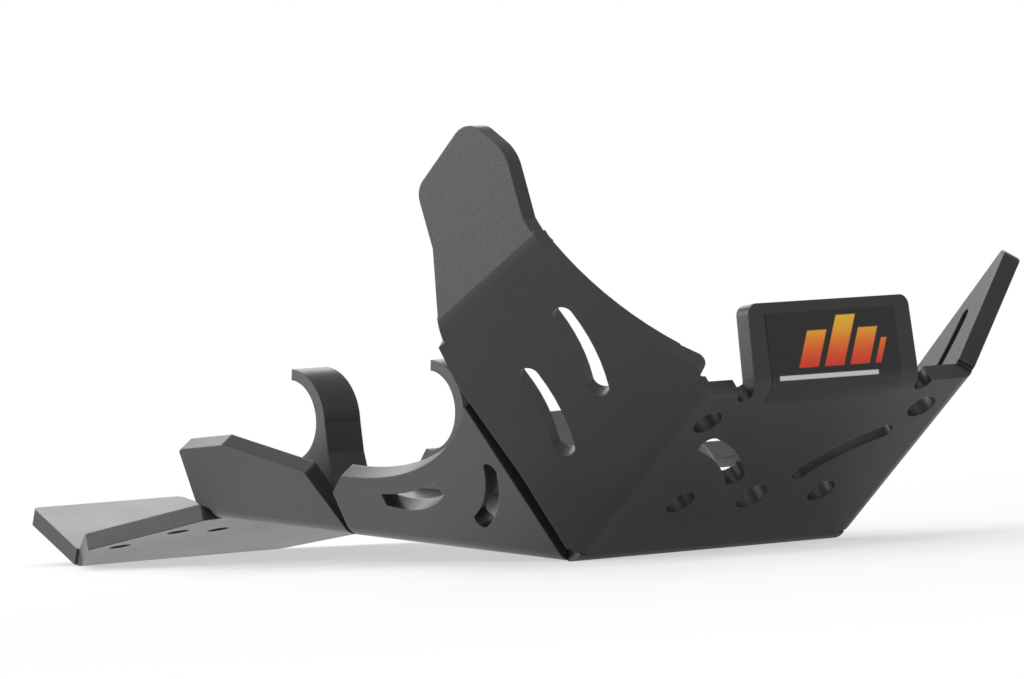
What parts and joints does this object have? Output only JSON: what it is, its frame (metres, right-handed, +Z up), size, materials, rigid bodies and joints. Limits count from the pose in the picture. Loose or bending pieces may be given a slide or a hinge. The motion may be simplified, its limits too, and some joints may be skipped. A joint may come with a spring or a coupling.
{
  "type": "motorcycle skid plate",
  "caption": "Folded plastic skid plate with slotted side wings, an upturned front with a tab, a downward tail and hooks for a frame tube.",
  "frame": {"origin": "middle of the bounding box at the ground, with the plate lying on its two lower folds as it comes to rest", "axes": "+X to the front of the motorcycle, +Y to its left side, +Z up"},
  "size_m": [0.5356, 0.2814, 0.1912],
  "materials": {
    "sheet": "satin black polyethylene sheet with a fine grain and scraped edges",
    "hook": "satin black machined plastic",
    "screw": "zinc plated"
  },
  "bodies": {
    "root": {"plate": "sheet", "hook_right": "hook", "hook_left": "hook", "screw_right_front": "screw", "screw_right_rear": "screw", "screw_left_front": "screw", "screw_left_rear": "screw"}
  },
  "joints": []
}
